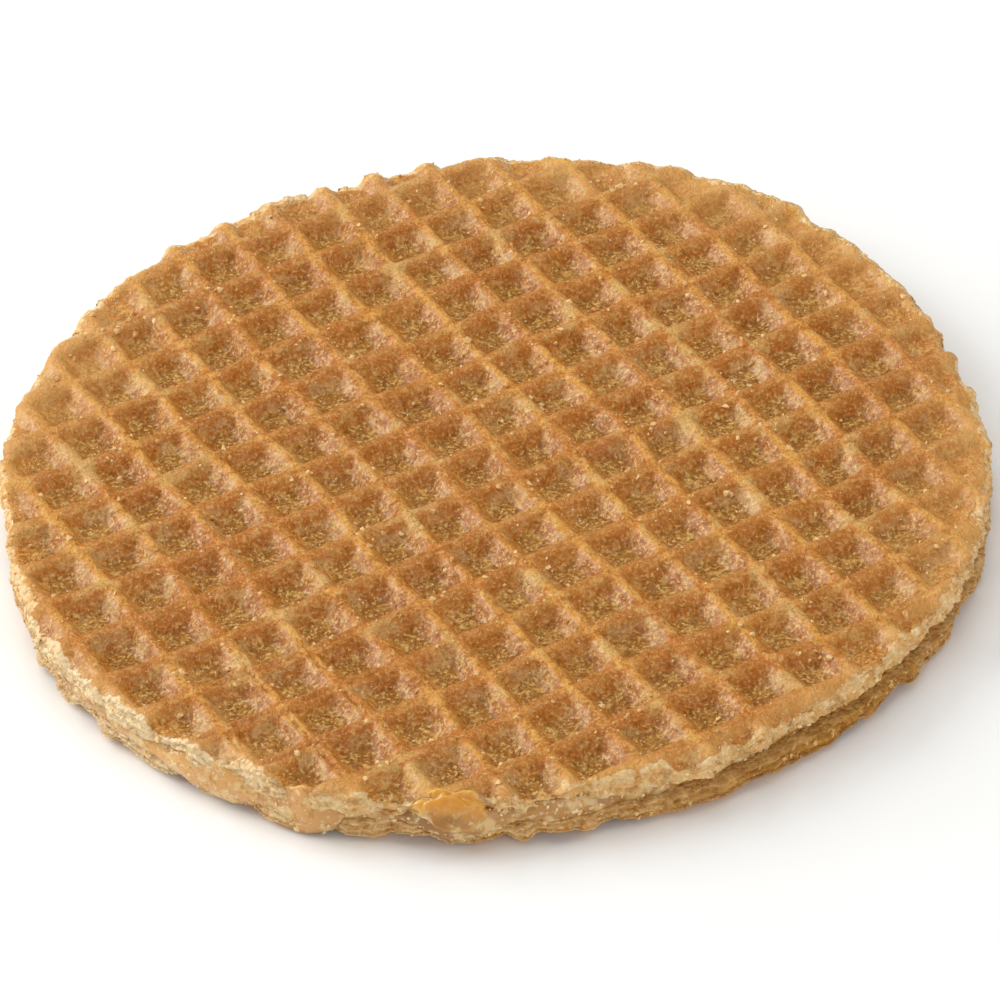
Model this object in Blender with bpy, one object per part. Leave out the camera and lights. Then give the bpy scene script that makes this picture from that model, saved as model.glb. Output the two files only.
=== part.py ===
# Stroopwafel: two thin waffle wafers with a layer of caramel syrup between them.
# Metres, +Z up. The origin is below the middle of the biscuit, on what it rests on.

import math
import random

import bmesh
import bpy
from mathutils import Vector

# Driving dimensions
MEAN_RADIUS = 0.0500              # of the top wafer's edge
OVAL_SHARE = 0.026                # longer by this share along OVAL_ANGLE, shorter across it
OVAL_ANGLE = math.radians(60)
EDGE_STEPS = 120                  # points around each edge

BOTTOM_WAFER_Z = (0.0, 0.0024)    # lowest and highest level of each layer
SYRUP_Z = (0.0027, 0.0037)
TOP_WAFER_Z = (0.0040, 0.0066)

PIT_PITCH = 0.00611               # from one ridge to the next
PIT_FLOOR = 0.0030                # width of a pit's flat floor
PIT_DEPTH = 0.00145
PIT_SPREAD = 0.12                 # share by which one pit's depth differs from the next
RIDGE_WIDTH = 0.0011              # of a ridge, at its shoulders
RIDGE_ROUNDING = 0.00022          # drop from a rounded ridge's crest to its shoulders
GRID_TURN = math.radians(28.7)    # direction of the rows of pits, from +X
TOP_GRID_SHIFT = (0.08, -0.30)    # cells by which the top wafer's grid is off the middle
GRID_MARGIN = 0.0020              # a crossing nearer to the edge is pulled in to here
LEAST_PIT_ROOM = 0.0032           # a pit whose middle is nearer to the edge is left out
LEAST_CELL_SIDE = 0.0026          # and so is one with a side shorter than this
SHALLOW_BAND = 0.0085             # pits nearer to the edge than this are shallower

RIM_FALL = 0.0010                 # the rounded rim's drop, over RIM_RUN
RIM_RUN = 0.0014
SYRUP_INSET = 0.0006              # syrup's edge, inside the top wafer's
SEED = 11

# Bulges and dents of an edge: direction in degrees, size in metres, half width in degrees
TOP_BUMPS = ((8, -0.0006, 8), (23, -0.001, 14), (38, -0.0005, 8), (55, 0.0014, 6),
             (66, 0.0005, 4), (70, 0.0009, 4), (84, 0.0005, 4), (98, 0.0006, 44),
             (131, 0.00045, 9), (192, -0.0012, 10), (250, 0.0007, 7), (282, -0.0007, 6),
             (291, 0.0006, 4), (305, -0.0004, 8), (333, 0.0007, 8))
BOTTOM_BUMPS = ((22, -0.0012, 14), (60, 0.0004, 12), (192, -0.0013, 12), (216, -0.0003, 10),
                (236, -0.0002, 6), (245, -0.00025, 45), (248, 0.0009, 4), (262, 0.0004, 5),
                (276, 0.0007, 3), (283, -0.0005, 4), (293, 0.0005, 5), (324, 0.0005, 13),
                (345, 0.0003, 16), (350, -0.0002, 9))
SYRUP_BUMPS = ((22, -0.0012, 14), (60, 0.0006, 12), (110, 0.0002, 12), (192, -0.0013, 10),
               (218, 0.0001, 8), (238, 0.0007, 7), (249, 0.0012, 4), (265, 0.0013, 4),
               (276, 0.0005, 5), (283, -0.0003, 4), (320, 0.0002, 16))


def clear_scene():
    for item in list(bpy.data.objects):
        bpy.data.objects.remove(item, do_unlink=True)


def food_material(name, colour, roughness):
    material = bpy.data.materials.new(name)
    material.use_nodes = True
    shader = material.node_tree.nodes["Principled BSDF"]
    shader.inputs["Base Color"].default_value = (*colour, 1.0)
    shader.inputs["Roughness"].default_value = roughness
    shader.inputs["Metallic"].default_value = 0.0
    return material


def edge_radius(angle, bumps, inset=0.0):
    """Distance from the middle to a layer's edge, in one direction."""
    radius = MEAN_RADIUS * (1 + OVAL_SHARE * math.cos(2 * (angle - OVAL_ANGLE))) - inset
    for degrees, size, half_width in bumps:
        away = math.degrees(angle) - degrees
        away = (away + 180) % 360 - 180
        radius += size * math.exp(-(away / half_width) ** 2)
    return radius


def edge_points(bumps, inset=0.0):
    """The layer's edge as (direction, radius) pairs, once around."""
    points = []
    for step in range(EDGE_STEPS):
        angle = 2 * math.pi * step / EDGE_STEPS
        points.append((angle, edge_radius(angle, bumps, inset)))
    return points


def middle_of(*edges):
    """Middle of the box around all edges, which becomes the origin."""
    across = [radius * math.cos(angle) for edge in edges for angle, radius in edge]
    along = [radius * math.sin(angle) for edge in edges for angle, radius in edge]
    return Vector(((min(across) + max(across)) / 2, (min(along) + max(along)) / 2, 0.0))


def add_ring(bm, edge, shrink, height, middle):
    """One closed ring of vertices, inside the edge by shrink."""
    ring = []
    for angle, radius in edge:
        reach = radius - shrink
        place = Vector((reach * math.cos(angle), reach * math.sin(angle), height)) - middle
        ring.append(bm.verts.new(place))
    return ring


def join_rings(bm, lower, upper):
    """A band of outward faces between two rings of the same size."""
    count = len(lower)
    for step in range(count):
        following = (step + 1) % count
        bm.faces.new((lower[step], lower[following], upper[following], upper[step]))


def cell_point(column, row, shift):
    """Place of a crossing of two ridges, in metres from the middle."""
    along = (column + shift[0]) * PIT_PITCH
    across = (row + shift[1]) * PIT_PITCH
    return (along * math.cos(GRID_TURN) + across * math.sin(GRID_TURN),
            along * math.sin(GRID_TURN) - across * math.cos(GRID_TURN))


def room_to_edge(x, y, bumps):
    """Distance from a place on the wafer out to its edge."""
    return edge_radius(math.atan2(y, x), bumps) - math.hypot(x, y)


def crossing_place(column, row, shift, bumps):
    """Place of a crossing, pulled in towards the middle where it would reach the rim."""
    x, y = cell_point(column, row, shift)
    excess = max(0.0, GRID_MARGIN - room_to_edge(x, y, bumps))
    kept = 1 - excess / math.hypot(x, y)
    return Vector((x * kept, y * kept, 0.0))


def cell_corners(column, row, shift, bumps):
    """Corners of one cell, in order around it."""
    return [crossing_place(column + i, row + j, shift, bumps)
            for i, j in ((0, 0), (1, 0), (1, 1), (0, 1))]


def cells_on_wafer(shift, bumps):
    """Columns and rows of the cells that leave room for a pit."""
    reach = int(MEAN_RADIUS / PIT_PITCH) + 2
    cells = []
    for column in range(-reach, reach):
        for row in range(-reach, reach):
            x, y = cell_point(column + 0.5, row + 0.5, shift)
            if room_to_edge(x, y, bumps) < LEAST_PIT_ROOM:
                continue
            corners = cell_corners(column, row, shift, bumps)
            sides = [(corners[side] - corners[side - 1]).length for side in range(4)]
            if min(sides) > LEAST_CELL_SIDE:
                cells.append((column, row))
    return cells


def inner_ring(bm, corners, inset, height, middle):
    """Four vertices inside a cell, away from its sides by a share of its width."""
    ring = []
    for i, j in ((inset, inset), (1 - inset, inset), (1 - inset, 1 - inset), (inset, 1 - inset)):
        near_side = corners[0].lerp(corners[1], i)
        far_side = corners[3].lerp(corners[2], i)
        place = near_side.lerp(far_side, j) - middle
        ring.append(bm.verts.new((place.x, place.y, height)))
    return ring


def add_waffle_face(bm, level, shift, bumps, rounding, rng, middle):
    """Ridges and pits at the given level. Returns the outer edges of the ridges."""
    crossings = {}

    def crossing(column, row):
        if (column, row) not in crossings:
            place = crossing_place(column, row, shift, bumps) - middle
            crossings[column, row] = bm.verts.new((place.x, place.y, level))
        return crossings[column, row]

    shoulder_inset = RIDGE_WIDTH / 2 / PIT_PITCH
    floor_inset = (1 - PIT_FLOOR / PIT_PITCH) / 2
    for column, row in cells_on_wafer(shift, bumps):
        x, y = cell_point(column + 0.5, row + 0.5, shift)
        fade = min(1.0, room_to_edge(x, y, bumps) / SHALLOW_BAND)
        depth = PIT_DEPTH * fade * (1 + PIT_SPREAD * rng.uniform(-1, 1))
        corners = cell_corners(column, row, shift, bumps)
        outer = [crossing(column + i, row + j) for i, j in ((0, 0), (1, 0), (1, 1), (0, 1))]
        shoulder = inner_ring(bm, corners, shoulder_inset, level - rounding, middle)
        floor = inner_ring(bm, corners, floor_inset, level - depth, middle)
        for inner, around in ((shoulder, outer), (floor, shoulder)):
            for side in range(4):
                following = (side + 1) % 4
                bm.faces.new((around[side], around[following], inner[following], inner[side]))
        bm.faces.new(floor)
    return [edge for edge in bm.edges if edge.is_boundary]


def finish_object(bm, name, material, turn_over_at=None):
    """Write the mesh to an object, turned over where its pits face down."""
    if turn_over_at is not None:
        for vertex in bm.verts:
            vertex.co.z = turn_over_at - vertex.co.z
    bmesh.ops.triangulate(bm, faces=bm.faces)
    bmesh.ops.recalc_face_normals(bm, faces=bm.faces)
    mesh = bpy.data.meshes.new(name)
    bm.to_mesh(mesh)
    bm.free()
    mesh.materials.append(material)
    item = bpy.data.objects.new(name, mesh)
    bpy.context.scene.collection.objects.link(item)
    return item


def make_wafer(name, levels, bumps, shift, rounding, material, middle, face_down=False):
    """A wafer with its waffle face up, or down, a rounded rim and a plain inner face."""
    lowest, highest = levels
    edge = edge_points(bumps)
    bm = bmesh.new()
    rng = random.Random(SEED)
    ridge_edges = add_waffle_face(bm, highest, shift, bumps, rounding, rng, middle)

    rim = add_ring(bm, edge, RIM_RUN, highest, middle)
    rim_edges = []
    for step in range(EDGE_STEPS):
        rim_edges.append(bm.edges.new((rim[step], rim[(step + 1) % EDGE_STEPS])))
    bmesh.ops.triangle_fill(bm, use_beauty=True, use_dissolve=False,
                            edges=ridge_edges + rim_edges, normal=(0, 0, 1))

    shoulder = add_ring(bm, edge, RIM_RUN * 0.25, highest - RIM_FALL * 0.4, middle)
    side = add_ring(bm, edge, 0.0, highest - RIM_FALL, middle)
    base = add_ring(bm, edge, 0.0, lowest, middle)
    join_rings(bm, shoulder, rim)
    join_rings(bm, side, shoulder)
    join_rings(bm, base, side)
    bm.faces.new(base)
    turn_over_at = lowest + highest if face_down else None
    return finish_object(bm, name, material, turn_over_at)


def make_syrup(name, levels, material, middle):
    """The syrup layer, with a rounded edge that swells out where syrup has oozed."""
    lowest, highest = levels
    thickness = highest - lowest
    edge = edge_points(SYRUP_BUMPS, SYRUP_INSET)
    bm = bmesh.new()
    rings = []
    for share, shrink in ((0.0, 0.35), (0.3, 0.0), (0.7, 0.0), (1.0, 0.35)):
        rings.append(add_ring(bm, edge, shrink * thickness, lowest + share * thickness, middle))
    for lower, upper in zip(rings, rings[1:]):
        join_rings(bm, lower, upper)
    bm.faces.new(rings[0])
    bm.faces.new(rings[-1])
    return finish_object(bm, name, material)


def make_stroopwafel():
    clear_scene()
    crust = food_material("baked_wafer", (0.50, 0.23, 0.065), 0.55)
    caramel = food_material("caramel_syrup", (0.55, 0.27, 0.05), 0.22)
    middle = middle_of(edge_points(TOP_BUMPS), edge_points(BOTTOM_BUMPS),
                       edge_points(SYRUP_BUMPS, SYRUP_INSET))

    # The bottom wafer's grid puts a crossing of two flat ridges over the origin.
    bottom_shift = (
        (middle.x * math.cos(GRID_TURN) + middle.y * math.sin(GRID_TURN)) / PIT_PITCH,
        (middle.x * math.sin(GRID_TURN) - middle.y * math.cos(GRID_TURN)) / PIT_PITCH,
    )
    make_wafer("bottom_wafer", BOTTOM_WAFER_Z, BOTTOM_BUMPS, bottom_shift, 0.0, crust,
               middle, face_down=True)
    make_syrup("syrup_filling", SYRUP_Z, caramel, middle)
    make_wafer("top_wafer", TOP_WAFER_Z, TOP_BUMPS, TOP_GRID_SHIFT, RIDGE_ROUNDING, crust,
               middle)


make_stroopwafel()
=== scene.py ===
# Stroopwafel: two baked waffle wafers with caramel syrup oozing between them, crumbs and sugar.
import math
import bpy
from mathutils import Matrix, Vector


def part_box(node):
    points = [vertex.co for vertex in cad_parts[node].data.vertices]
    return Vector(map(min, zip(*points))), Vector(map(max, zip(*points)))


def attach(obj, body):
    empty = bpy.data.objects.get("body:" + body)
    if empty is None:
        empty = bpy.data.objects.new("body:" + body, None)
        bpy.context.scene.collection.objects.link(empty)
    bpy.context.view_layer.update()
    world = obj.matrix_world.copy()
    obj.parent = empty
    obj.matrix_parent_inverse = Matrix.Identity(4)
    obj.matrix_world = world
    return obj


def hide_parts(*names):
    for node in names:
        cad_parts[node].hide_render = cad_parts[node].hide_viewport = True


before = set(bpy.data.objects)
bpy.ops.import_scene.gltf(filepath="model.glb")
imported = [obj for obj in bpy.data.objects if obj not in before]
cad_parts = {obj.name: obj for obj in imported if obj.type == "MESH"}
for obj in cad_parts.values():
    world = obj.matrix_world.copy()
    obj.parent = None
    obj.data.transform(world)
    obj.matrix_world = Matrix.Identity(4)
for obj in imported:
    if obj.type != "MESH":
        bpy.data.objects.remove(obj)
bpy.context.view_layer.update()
mm = 0.001
mathNode, vectorNode, noiseNode = "ShaderNodeMath", "ShaderNodeVectorMath", "ShaderNodeTexNoise"
rangeNode, mixNode, storeNode = "ShaderNodeMapRange", "ShaderNodeMix", "GeometryNodeStoreNamedAttribute"


def linearColour(hexCode):
    # an sRGB hex value as the linear colour that a shader wants
    channels = [int(hexCode[i:i + 2], 16) / 255 for i in (1, 3, 5)]
    return [c / 12.92 if c <= 0.04045 else ((c + 0.055) / 1.055) ** 2.4 for c in channels] + [1.0]


def perMetre(millimetres):
    # scale of a pattern whose features are this large
    return 1 / (millimetres * mm)


def addNode(tree, kind, settings=None, links=()):
    # links go by order or by name to the sockets that show: a number, a colour, a socket or a node
    node = tree.nodes.new(kind)
    for key, value in (settings or {}).items():
        setattr(node, key, value)
    shown = [socket for socket in node.inputs if socket.enabled]
    for key, value in links.items() if isinstance(links, dict) else enumerate(links):
        if value is None:
            continue
        socket = shown[key] if isinstance(key, int) else next(s for s in shown if s.name == key)
        if isinstance(value, bpy.types.Node):
            value = next(s for s in value.outputs if s.enabled)
        if isinstance(value, bpy.types.NodeSocket):
            tree.links.new(value, socket)
        else:
            socket.default_value = value
    return node


def newShapeTree(name, sizes):
    # a Geometry Nodes tree with one named input for each number in sizes
    tree = bpy.data.node_groups.new(name, "GeometryNodeTree")
    tree.interface.new_socket("Geometry", in_out="INPUT", socket_type="NodeSocketGeometry")
    for key, value in sizes.items():
        if isinstance(value, (int, float)):
            kind = "NodeSocketInt" if isinstance(value, int) else "NodeSocketFloat"
            tree.interface.new_socket(key, in_out="INPUT", socket_type=kind)
    tree.interface.new_socket("Geometry", in_out="OUTPUT", socket_type="NodeSocketGeometry")
    given = tree.nodes.new("NodeGroupInput")
    result = tree.nodes.new("NodeGroupOutput")
    return tree, given.outputs, result.inputs[0]


def growPiece(name, tree, sizes, material, start=None):
    # run the tree once and keep its result as a plain mesh
    mesh = start.copy() if start else bpy.data.meshes.new(name)
    piece = bpy.data.objects.new(name, mesh)
    bpy.context.scene.collection.objects.link(piece)
    modifier = piece.modifiers.new("shape", "NODES")
    modifier.node_group = tree
    for item in tree.interface.items_tree:
        if item.in_out == "INPUT" and item.name in sizes:
            modifier[item.identifier] = sizes[item.name]
    graph = bpy.context.evaluated_depsgraph_get()
    grown = bpy.data.meshes.new_from_object(piece.evaluated_get(graph), depsgraph=graph,
                                            preserve_all_data_layers=True)
    piece.modifiers.remove(modifier)
    piece.data = grown
    grown.name = name
    if not grown.materials:
        grown.materials.append(material)
    triangles = sum(len(face.vertices) - 2 for face in grown.polygons)
    print(name, "made:", triangles, "triangles")
    return piece


def signedNoise(tree, vector, millimetres, reach, detail=2.0):
    # noise around zero that seldom leaves -reach to reach, in metres
    noise = addNode(tree, noiseNode, {}, {"Vector": vector, "Scale": perMetre(millimetres),
                                          "Detail": detail})
    return addNode(tree, mathNode, {"operation": "MULTIPLY_ADD"}, [noise, 4 * reach, -2 * reach])


def directionOf(tree, flat):
    # direction of a place from the middle, in degrees
    parts = addNode(tree, "ShaderNodeSeparateXYZ", {}, [flat])
    angle = addNode(tree, mathNode, {"operation": "ARCTAN2"}, [parts.outputs[1], parts.outputs[0]])
    return addNode(tree, mathNode, {"operation": "DEGREES"}, [angle])


def bandAround(tree, distance, centre, halfWidth):
    # 1 at that distance, fading softly to both sides
    away = addNode(tree, mathNode, {"operation": "SUBTRACT"}, [distance, centre])
    away = addNode(tree, mathNode, {"operation": "DIVIDE"}, [away, halfWidth])
    away = addNode(tree, mathNode, {"operation": "MULTIPLY"}, [away, away])
    away = addNode(tree, mathNode, {"operation": "MULTIPLY"}, [away, -1.0])
    return addNode(tree, mathNode, {"operation": "EXPONENT"}, [away])


def addBumps(tree, degrees, total, bumps, unit=mm):
    # each bump: direction in degrees, height in the unit, half width in degrees
    for at, height, halfWidth in bumps:
        away = addNode(tree, mathNode, {"operation": "SUBTRACT"}, [degrees, at])
        away = addNode(tree, mathNode, {"operation": "WRAP"}, [away, 180.0, -180.0])
        share = bandAround(tree, away, 0.0, halfWidth)
        total = addNode(tree, mathNode, {"operation": "MULTIPLY_ADD"}, [share, height * unit, total])
    return total


def edgeRadius(tree, degrees, sizes, bumps):
    # an oval edge with its bulges and dents
    away = addNode(tree, mathNode, {"operation": "SUBTRACT"}, [degrees, sizes["ovalAngle"]])
    wave = addNode(tree, mathNode, {"operation": "MULTIPLY"}, [away, math.radians(2)])
    wave = addNode(tree, mathNode, {"operation": "COSINE"}, [wave])
    wave = addNode(tree, mathNode, {"operation": "MULTIPLY_ADD"}, [wave, sizes["ovalShare"], 1.0])
    radius = addNode(tree, mathNode, {"operation": "MULTIPLY"}, [wave, sizes["radius"]])
    return addBumps(tree, degrees, radius, bumps)


def edgeMiddle(sizes, bumps):
    # middle of the box around that edge, from the middle that its radius is measured from
    across, along = [], []
    for step in range(720):
        angle = math.radians(step / 2)
        oval = math.cos(2 * (angle - math.radians(sizes["ovalAngle"])))
        radius = sizes["radius"] * (1 + sizes["ovalShare"] * oval)
        for at, height, halfWidth in bumps:
            away = (step / 2 - at + 180) % 360 - 180
            radius += height * mm * math.exp(-(away / halfWidth) ** 2)
        across.append(radius * math.cos(angle))
        along.append(radius * math.sin(angle))
    return Vector(((min(across) + max(across)) / 2, (min(along) + max(along)) / 2, 0))


# the solids' boxes: the wafers and the syrup take their levels from them
topLow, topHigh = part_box("top_wafer")
syrupLow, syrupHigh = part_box("syrup_filling")
bottomLow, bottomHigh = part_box("bottom_wafer")

topWafer = {
    "radius": 50.0 * mm, "ovalShare": 0.026, "ovalAngle": 60.0,
    "pitch": 6.11 * mm, "gridTurn": 28.7,           # square pits, and the turn of their rows
    "shiftAlong": 0.08, "shiftAcross": 0.30,        # cells that the grid is off the middle
    "reachCells": 18, "cellSteps": 19, "crowding": 0.22,
    "pitDepth": 1.45 * mm, "pitRun": 1.95 * mm, "cellSpread": 0.13,
    "height": topHigh.z, "base": topLow.z - 0.15 * mm,
    "rimFall": 0.42 * mm, "rimRun": 1.2 * mm, "rimBlend": 4.6 * mm, "rimDepth": 0.72,
    "waviness": 0.16 * mm, "lumps": 0.11 * mm, "creaseDepth": 0.42 * mm,
    "scallop": 0.5 * mm, "tear": 0.3 * mm, "baseTear": 0.35 * mm, "belly": 0.08 * mm,
}
# bulges and dents of an edge: direction in degrees, size in mm, half width in degrees
topBumps = ((8, -0.6, 8), (23, -1, 14), (38, -0.5, 8), (55, 1.4, 6), (66, 0.5, 4), (70, 0.9, 4),
            (84, 0.5, 4), (98, 0.6, 44), (131, 0.45, 9), (192, -1.2, 10), (250, 0.7, 7),
            (282, -0.7, 6), (291, 0.6, 4), (305, -0.4, 8), (333, 0.7, 8))
# how many mm from the edge the pits take to deepen, and what share of their depth the edge keeps
topRimBlend = ((355, 2.2, 40), (150, 1.0, 30), (268, -2.6, 36))
topRimDepth = ((268, 0.2, 32), (0, -0.22, 24), (62, -0.5, 26), (150, -0.25, 36))

# a pit's slope down from each family of ridges: share of the run, share of the depth
slopeProfiles = (((0.14, 0.03), (0.30, 0.15), (0.54, 0.55), (0.78, 0.89), (0.9, 0.98)),
                 ((0.18, 0.03), (0.36, 0.14), (0.62, 0.55), (0.84, 0.90), (0.94, 0.98)))

bottomWafer = dict(topWafer, **{
    "shiftAlong": 0.31, "shiftAcross": 0.12, "cellSteps": 14, "height": bottomHigh.z,
    "base": -0.15 * mm, "rimFall": 0.55 * mm, "rimBlend": 1.2 * mm, "rimDepth": 0.55,
    "waviness": 0.03 * mm, "lumps": 0.05 * mm, "creaseDepth": 0.1 * mm, "scallop": 0.35 * mm,
})
bottomBumps = ((22, -1.2, 14), (60, 0.4, 12), (192, -1.3, 12), (216, -0.3, 10), (236, -0.2, 6),
               (245, -0.25, 45), (248, 0.9, 4), (262, 0.4, 5), (276, 0.7, 3), (283, -0.5, 4),
               (293, 0.5, 5), (324, 0.5, 13), (345, 0.3, 16), (350, -0.2, 9))

syrup = {
    "radius": 49.4 * mm, "ovalShare": 0.026, "ovalAngle": 60.0,
    "around": 1000, "upSteps": 16, "fillSteps": 12,
    "low": syrupLow.z - 0.2 * mm, "high": syrupHigh.z + 0.2 * mm,
    "bulge": 0.5 * mm, "ripple": 0.18 * mm,
}
syrupBumps = ((22, -1.2, 14), (60, 0.6, 12), (110, 0.2, 12), (192, -1.3, 10), (218, 0.1, 8),
              (238, 0.7, 7), (249, 1.2, 4), (265, 1.3, 4), (276, 0.5, 5), (283, -0.3, 4),
              (312, -1.1, 22))
# where the skins rise and sink: oozed lips
syrupTop = ((222, 0.6, 6), (238, 1.2, 5), (249, 1.9, 3), (265, 0.9, 4), (275, 0.9, 5))
syrupBottom = ((222, -0.8, 8), (238, -1.6, 6), (249, -2.2, 5), (265, -1.2, 5), (280, -0.6, 8))
# the tongue that leans over the crust
syrupLip = {"halfWidth": 3.0 * mm, "halfThick": 0.65 * mm, "halfHeight": 1.9 * mm,
            "direction": 264.6, "reach": 51.2 * mm, "lift": 1.45 * mm, "lean": 24.0}

# the wafers' middle, from which their edges are measured
middle = (topLow + topHigh) / 2 - edgeMiddle(topWafer, topBumps)
middle.z = 0


def latticeGrid(tree, sizes):
    # a flat square lattice, one line on each ridge, whose lines crowd together at the ridges
    span = addNode(tree, mathNode, {"operation": "MULTIPLY"}, [sizes["pitch"], sizes["reachCells"]])
    count = addNode(tree, mathNode, {"operation": "MULTIPLY_ADD"},
                    [sizes["reachCells"], sizes["cellSteps"], 1.0])
    grid = addNode(tree, "GeometryNodeMeshGrid", {}, [span, span, count, count])
    place = addNode(tree, "GeometryNodeInputPosition")
    perPitch = addNode(tree, mathNode, {"operation": "DIVIDE"}, [1.0, sizes["pitch"]])
    cell = addNode(tree, vectorNode, {"operation": "SCALE"}, [place, perPitch])
    wave = addNode(tree, vectorNode, {"operation": "SCALE"}, [cell, 2 * math.pi])
    wave = addNode(tree, vectorNode, {"operation": "SINE"}, [wave])
    pull = addNode(tree, mathNode, {"operation": "DIVIDE"}, [sizes["crowding"], -2 * math.pi])
    wave = addNode(tree, vectorNode, {"operation": "SCALE"}, [wave, pull])
    cell = addNode(tree, vectorNode, {"operation": "ADD"}, [cell, wave])
    grid = addNode(tree, storeNode, {"data_type": "FLOAT_VECTOR"}, [grid, None, "cell", cell])

    # move the grid off the middle and turn its rows
    cell = addNode(tree, "GeometryNodeInputNamedAttribute", {"data_type": "FLOAT_VECTOR"}, ["cell"])
    shift = addNode(tree, "ShaderNodeCombineXYZ", {}, [sizes["shiftAlong"], sizes["shiftAcross"]])
    flat = addNode(tree, vectorNode, {"operation": "ADD"}, [cell, shift])
    flat = addNode(tree, vectorNode, {"operation": "SCALE"}, [flat, sizes["pitch"]])
    turn = addNode(tree, mathNode, {"operation": "RADIANS"}, [sizes["gridTurn"]])
    flat = addNode(tree, "ShaderNodeVectorRotate", {"rotation_type": "Z_AXIS"},
                   {"Vector": flat, "Angle": turn})
    return addNode(tree, "GeometryNodeSetPosition", {}, {"Geometry": grid, "Position": flat})


def roundBlank(tree, sizes, grid, bumps):
    # cut the lattice to the wafer's edge, and fit its outermost points to that edge
    place = addNode(tree, "GeometryNodeInputPosition")
    degrees = directionOf(tree, place)
    outward = addNode(tree, vectorNode, {"operation": "NORMALIZE"}, [place])
    onCircle = addNode(tree, vectorNode, {"operation": "SCALE"}, [outward, sizes["radius"]])
    edge = edgeRadius(tree, degrees, sizes, bumps)
    for millimetres, reach in ((5.0, 0.30 * mm), (1.6, 0.16 * mm)):
        ragged = signedNoise(tree, onCircle, millimetres, reach)
        edge = addNode(tree, mathNode, {"operation": "ADD"}, [edge, ragged])
    blank = addNode(tree, storeNode, {}, [grid, None, "edge", edge])

    edge = addNode(tree, "GeometryNodeInputNamedAttribute", {}, ["edge"])
    reach = addNode(tree, vectorNode, {"operation": "LENGTH"}, [place])
    trimmed = addNode(tree, mathNode, {"operation": "SUBTRACT"}, [edge, 0.12 * mm])
    outside = addNode(tree, mathNode, {"operation": "GREATER_THAN"}, [reach, trimmed])
    blank = addNode(tree, "GeometryNodeDeleteGeometry", {}, [blank, outside])

    # edges left without a face go too
    faces = addNode(tree, "GeometryNodeInputMeshEdgeNeighbors")
    bareEdge = addNode(tree, mathNode, {"operation": "LESS_THAN"}, [faces, 0.5])
    blank = addNode(tree, "GeometryNodeDeleteGeometry", {"domain": "EDGE"}, [blank, bareEdge])
    alone = addNode(tree, mathNode, {"operation": "LESS_THAN"}, [faces, 1.5])
    alone = addNode(tree, "GeometryNodeFieldOnDomain", {"domain": "EDGE", "data_type": "BOOLEAN"},
                    [alone])
    blank = addNode(tree, storeNode, {"data_type": "BOOLEAN", "domain": "EDGE"},
                    [blank, None, "open", alone])
    isOpen = addNode(tree, "GeometryNodeInputNamedAttribute", {"data_type": "BOOLEAN"}, ["open"])
    fitted = addNode(tree, vectorNode, {"operation": "SCALE"}, [outward, edge])
    blank = addNode(tree, "GeometryNodeSetPosition", {}, [blank, isOpen, fitted])

    # even out the rows next to the edge
    evened = addNode(tree, "GeometryNodeBlurAttribute", {"data_type": "FLOAT_VECTOR"}, [place, 2])
    near = addNode(tree, mathNode, {"operation": "SUBTRACT"}, [edge, 1.0 * mm])
    near = addNode(tree, mathNode, {"operation": "GREATER_THAN"}, [reach, near])
    closed = addNode(tree, mathNode, {"operation": "SUBTRACT"}, [near, isOpen])
    blank = addNode(tree, "GeometryNodeSetPosition", {}, [blank, closed, evened])
    return blank, isOpen


def closeBlank(tree, blank, ring, sideSteps=9):
    # draw the edge down in steps, then close the inner face towards the middle
    for step in range(sideSteps):
        drawn = addNode(tree, "GeometryNodeExtrudeMesh", {"mode": "EDGES"},
                        [blank, ring, (0, 0, -1), 0.25 * mm])
        ring = drawn.outputs["Top"]
        blank = addNode(tree, storeNode, {}, [drawn, ring, "side", (step + 1) / sideSteps])
    place = addNode(tree, "GeometryNodeInputPosition")
    for keep in (0.93, 0.5, 0.0):
        drawn = addNode(tree, "GeometryNodeExtrudeMesh", {"mode": "EDGES"},
                        [blank, ring, (0, 0, -1), 0.1 * mm])
        ring = drawn.outputs["Top"]
        inward = addNode(tree, vectorNode, {"operation": "MULTIPLY"}, [place, (keep, keep, 1)])
        blank = addNode(tree, "GeometryNodeSetPosition", {}, [drawn, ring, inward])
    return addNode(tree, "GeometryNodeMergeByDistance", {}, [blank, ring, 0.2 * mm])


def gridCells(tree, sizes, flat):
    # place in the grid, bent a little, and distances in metres from the two families of ridges
    cell = addNode(tree, "GeometryNodeInputNamedAttribute", {"data_type": "FLOAT_VECTOR"}, ["cell"])
    for millimetres, cells in ((26.0, 0.6), (5.0, 0.11)):
        bend = addNode(tree, noiseNode, {}, {"Vector": flat, "Scale": perMetre(millimetres),
                                             "Detail": 1.0})
        bend = addNode(tree, vectorNode, {"operation": "MULTIPLY_ADD"},
                       [bend.outputs["Color"], (cells, cells, 0), (-cells / 2, -cells / 2, 0)])
        cell = addNode(tree, vectorNode, {"operation": "ADD"}, [cell, bend])
    away = addNode(tree, vectorNode, {"operation": "ADD"}, [cell, (0.5, 0.5, 0)])
    away = addNode(tree, vectorNode, {"operation": "FRACTION"}, [away])
    away = addNode(tree, vectorNode, {"operation": "SUBTRACT"}, [away, (0.5, 0.5, 0)])
    away = addNode(tree, vectorNode, {"operation": "SCALE"}, [away, sizes["pitch"]])
    besideRidge = addNode(tree, "ShaderNodeSeparateXYZ", {}, [away]).outputs[0]
    away = addNode(tree, vectorNode, {"operation": "ABSOLUTE"}, [away])
    toRidge = addNode(tree, "ShaderNodeSeparateXYZ", {}, [away])
    return cell, besideRidge, toRidge


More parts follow.
